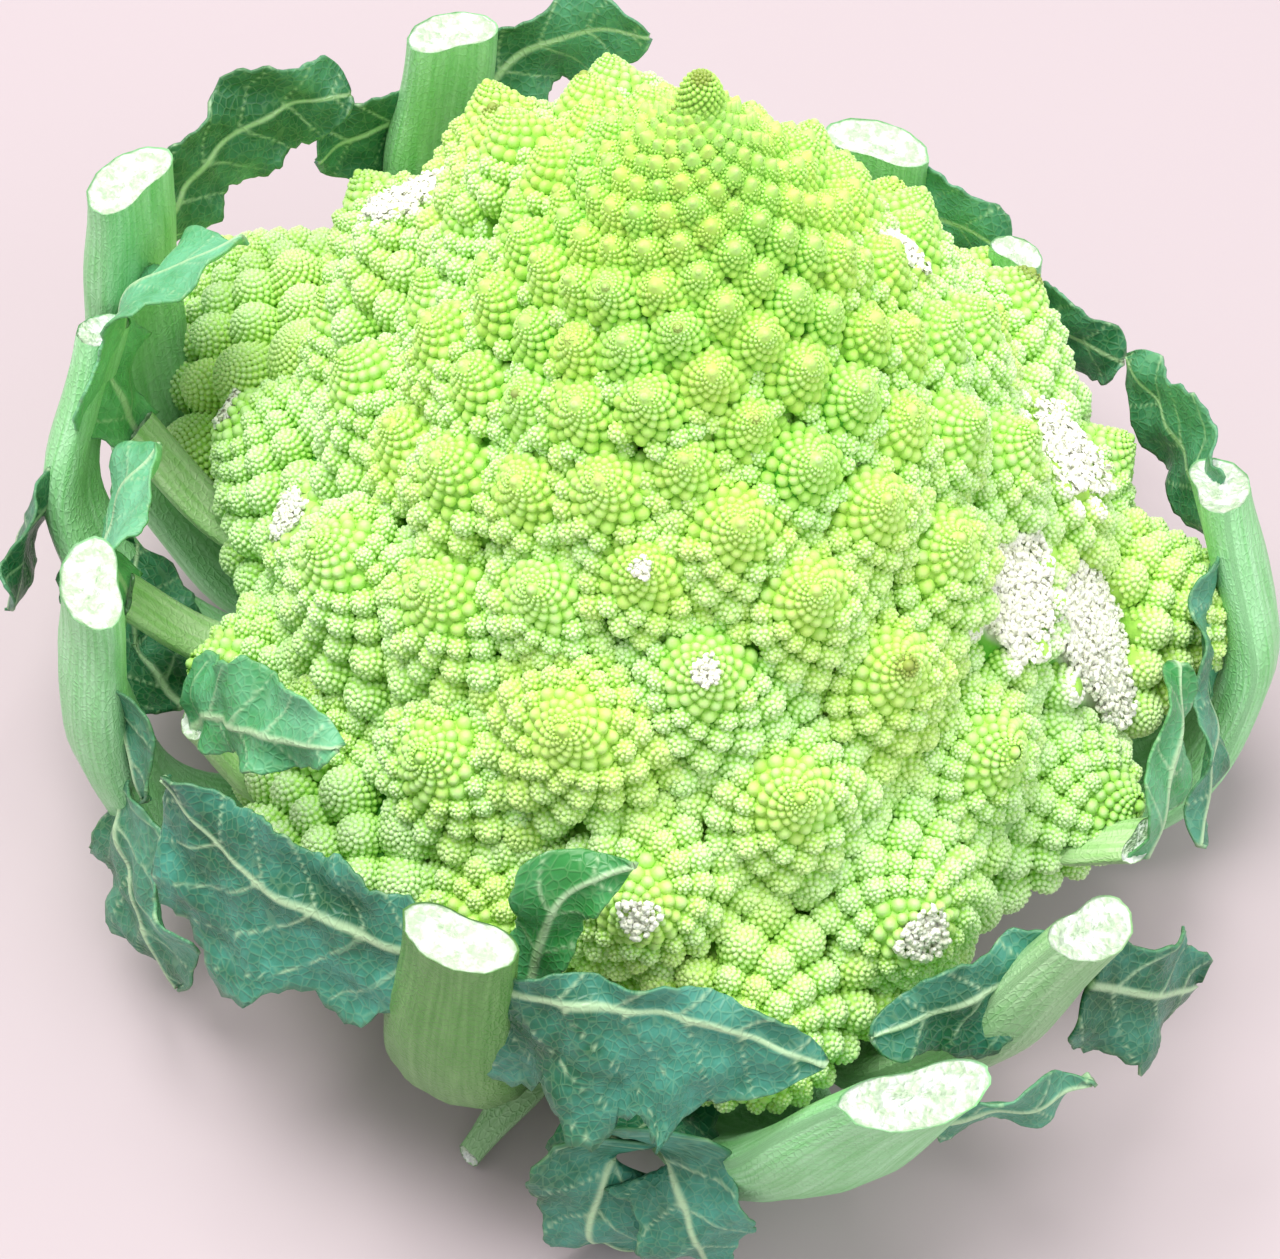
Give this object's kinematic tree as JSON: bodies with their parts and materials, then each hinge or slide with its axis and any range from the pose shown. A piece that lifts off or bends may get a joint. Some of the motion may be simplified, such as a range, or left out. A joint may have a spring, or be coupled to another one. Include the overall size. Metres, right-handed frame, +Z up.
{
  "type": "romanesco head",
  "caption": "Trimmed romanesco: a cone of spiralled bud clusters in a cup of cut leaf stalks with torn blades, standing on its cut stem.",
  "frame": {"origin": "centre of the stem's cut face, on the surface that the head stands on", "axes": "+Z up the head's axis to its tip; -Y towards the side with the widest cut stalk; +X to that side's right"},
  "size_m": [0.2071, 0.1997, 0.16],
  "materials": {
    "stem": "pale, slightly waxy plant skin; wet-looking cut face",
    "outer_leaf": "waxy leaf skin: pale green stalk, blue-green blade with pale veins",
    "inner_leaf": "young waxy leaf, lighter green",
    "curd": "dense bright yellow-green buds, soft sheen"
  },
  "bodies": {
    "root": {"stem": "stem", "leaf_front": "outer_leaf", "leaf_front_left": "outer_leaf", "leaf_front_right": "outer_leaf", "leaf_right": "outer_leaf", "leaf_right_back": "outer_leaf", "leaf_back_right": "outer_leaf", "leaf_back_left": "outer_leaf", "leaf_left_back": "outer_leaf", "leaf_left_upper": "outer_leaf", "leaf_left": "outer_leaf", "inner_leaf_left": "inner_leaf", "inner_leaf_front": "inner_leaf", "inner_leaf_right": "inner_leaf", "inner_leaf_left_back": "inner_leaf", "inner_leaf_left_mid": "inner_leaf", "torn_leaf": "outer_leaf", "curd": "curd"}
  },
  "joints": []
}
